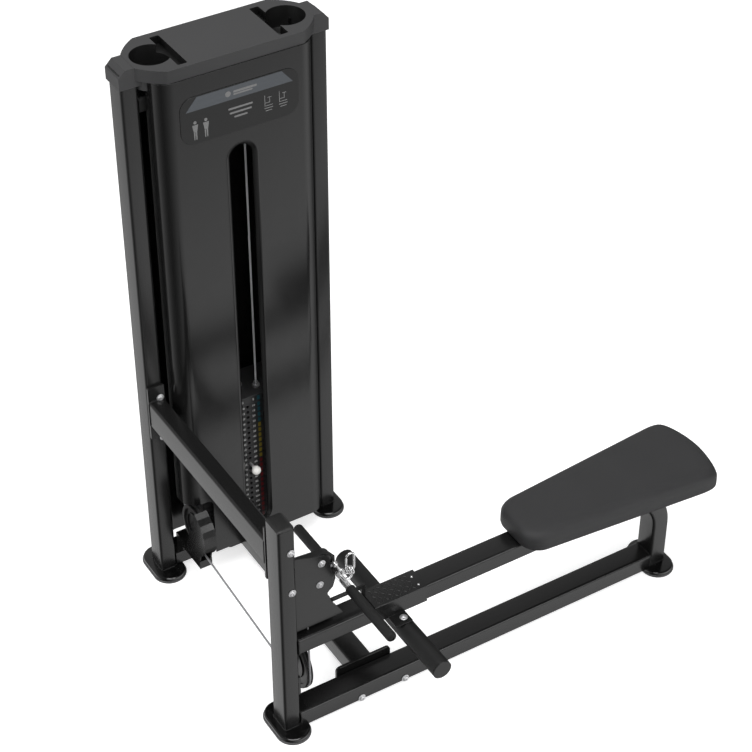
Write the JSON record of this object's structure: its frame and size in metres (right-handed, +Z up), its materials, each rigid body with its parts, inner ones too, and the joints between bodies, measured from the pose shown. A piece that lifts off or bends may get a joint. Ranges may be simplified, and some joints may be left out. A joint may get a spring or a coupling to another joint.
{
  "type": "seated cable row machine",
  "caption": "Floor-standing seated row machine: weight stack in a covered tower, cable over pulleys to a straight handle, round foot rest and a long padded seat on a bent rail.",
  "frame": {"origin": "on the floor, in the middle of the machine's outline seen from above", "axes": "+X along the bench from the front post to the seat, +Y from the bench to the weight tower, +Z up"},
  "size_m": [1.3434, 1.0228, 1.603],
  "materials": {
    "frame_paint": "satin black powder coat",
    "foot_paint": "gloss black",
    "shroud_plastic": "gloss black",
    "cap_plastic": "satin black",
    "placard_face": "gloss black with a grey band, no text",
    "plate_paint": "dark grey paint",
    "chrome": "polished",
    "steel": "zinc plated",
    "rubber": "matt black",
    "pulley_nylon": "black nylon",
    "cable_jacket": "grey jacket over steel rope",
    "seat_vinyl": "matt black vinyl over firm foam",
    "board": "black painted board",
    "knob_plastic": "pale ball knob on a steel pin"
  },
  "bodies": {
    "frame": {"foot_front": "foot_paint", "foot_rear": "foot_paint", "foot_tower_left": "foot_paint", "foot_tower_right": "foot_paint", "front_post": "frame_paint", "tower_post_left": "frame_paint", "tower_post_right": "frame_paint", "front_post_cap": "cap_plastic", "link_tube": "frame_paint", "upper_rail": "frame_paint", "lower_rail": "frame_paint", "cross_tube": "frame_paint", "base_cross_member": "frame_paint", "top_cross_member": "frame_paint", "guide_rod_left": "chrome", "guide_rod_right": "chrome", "stack_bumper_left": "rubber", "stack_bumper_right": "rubber", "front_shroud": "shroud_plastic", "rear_shroud": "shroud_plastic", "top_cap": "cap_plastic", "placard": "placard_face", "resting_plates": "plate_paint", "top_pulley_yoke": "frame_paint", "tower_pulley_bracket": "frame_paint", "front_pulley_bracket": "frame_paint", "exit_pulley_lower_bolt": "steel", "exit_pulley_upper_bolt": "steel", "exit_cheek_near": "frame_paint", "exit_cheek_far": "frame_paint", "exit_hood": "cap_plastic", "stack_cable": "cable_jacket", "main_cable": "cable_jacket", "cable_stub": "cable_jacket", "foot_rest_saddle": "frame_paint", "foot_rest_tube": "frame_paint", "foot_rest_bolt_near": "steel", "foot_rest_bolt_far": "steel", "foot_rest_cap_near": "cap_plastic", "foot_rest_cap_far": "cap_plastic", "seat_pad": "seat_vinyl", "seat_board": "board"},
    "lifted_stack": {"lifted_plates": "plate_paint", "head_plate": "plate_paint", "selector_stem": "steel", "cable_anchor": "steel"},
    "pin": {"selector_pin": "knob_plastic"},
    "stack_pulley": {"top_pulley_stack": "pulley_nylon"},
    "down_pulley": {"top_pulley_down": "pulley_nylon"},
    "tower_pulley": {"tower_low_pulley": "pulley_nylon"},
    "front_pulley": {"front_low_pulley": "pulley_nylon"},
    "exit_pulley": {"exit_pulley_lower": "pulley_nylon"},
    "guide_pulley": {"exit_pulley_upper": "pulley_nylon"},
    "cable_end": {"cable_stop": "chrome", "snap_hook": "chrome"},
    "hook_gate": {"snap_hook_gate": "chrome"},
    "handle": {"handle_bar": "chrome", "grip_near": "rubber", "grip_far": "rubber"}
  },
  "joints": [
    {"name": "stack_lift", "type": "slide", "parent": "frame", "child": "lifted_stack", "axis": [0, 0, 1], "range_m": [0, 0.65], "deforming": ["stack_cable"]},
    {"name": "pin_pull", "type": "slide", "parent": "lifted_stack", "child": "pin", "axis": [0, -1, 0], "range_m": [0, 0.07]},
    {"name": "stack_pulley_spin", "type": "hinge", "parent": "frame", "child": "stack_pulley", "pos_m": [-0.37005, 0.39485, 1.41], "axis": [0, 1, 0], "range_deg": [-825, 0]},
    {"name": "down_pulley_spin", "type": "hinge", "parent": "frame", "child": "down_pulley", "pos_m": [-0.51445, 0.39485, 1.41], "axis": [0, 1, 0], "range_deg": [-825, 0]},
    {"name": "tower_pulley_spin", "type": "hinge", "parent": "frame", "child": "tower_pulley", "pos_m": [-0.55975, 0.32755, 0.185], "axis": [1, 0, 0], "range_deg": [-555, 0]},
    {"name": "front_pulley_spin", "type": "hinge", "parent": "frame", "child": "front_pulley", "pos_m": [-0.55975, -0.20015, 0.15], "axis": [1, 0, 0], "range_deg": [-443, 0]},
    {"name": "exit_pulley_spin", "type": "hinge", "parent": "frame", "child": "exit_pulley", "pos_m": [-0.52675, -0.27215, 0.459], "axis": [0, 1, 0], "range_deg": [0, 1155]},
    {"name": "guide_pulley_spin", "type": "hinge", "parent": "frame", "child": "guide_pulley", "pos_m": [-0.52075, -0.27215, 0.527], "axis": [0, 1, 0], "continuous": true},
    {"name": "handle_pull", "type": "slide", "parent": "frame", "child": "cable_end", "axis": [0.9806, 0, 0.1961], "range_m": [0, 0.65]},
    {"name": "gate_open", "type": "hinge", "parent": "cable_end", "child": "hook_gate", "pos_m": [-0.44275, -0.27215, 0.469], "axis": [0, 1, 0], "range_deg": [0, 25], "stiffness_Nm_per_rad": 0.02, "springref_deg": -11.46},
    {"name": "handle_swing", "type": "hinge", "parent": "cable_end", "child": "handle", "pos_m": [-0.42725, -0.27215, 0.447], "axis": [1, 0, 0], "range_deg": [-30, 30]}
  ],
  "couplings": [
    {"joint": "stack_pulley_spin", "follows": "stack_lift", "rad_per_m": -22.075},
    {"joint": "down_pulley_spin", "follows": "stack_lift", "rad_per_m": -22.075},
    {"joint": "tower_pulley_spin", "follows": "stack_lift", "rad_per_m": -14.859},
    {"joint": "front_pulley_spin", "follows": "stack_lift", "rad_per_m": -11.862},
    {"joint": "exit_pulley_spin", "follows": "stack_lift", "rad_per_m": 30.96},
    {"joint": "handle_pull", "follows": "stack_lift", "ratio": 1}
  ]
}
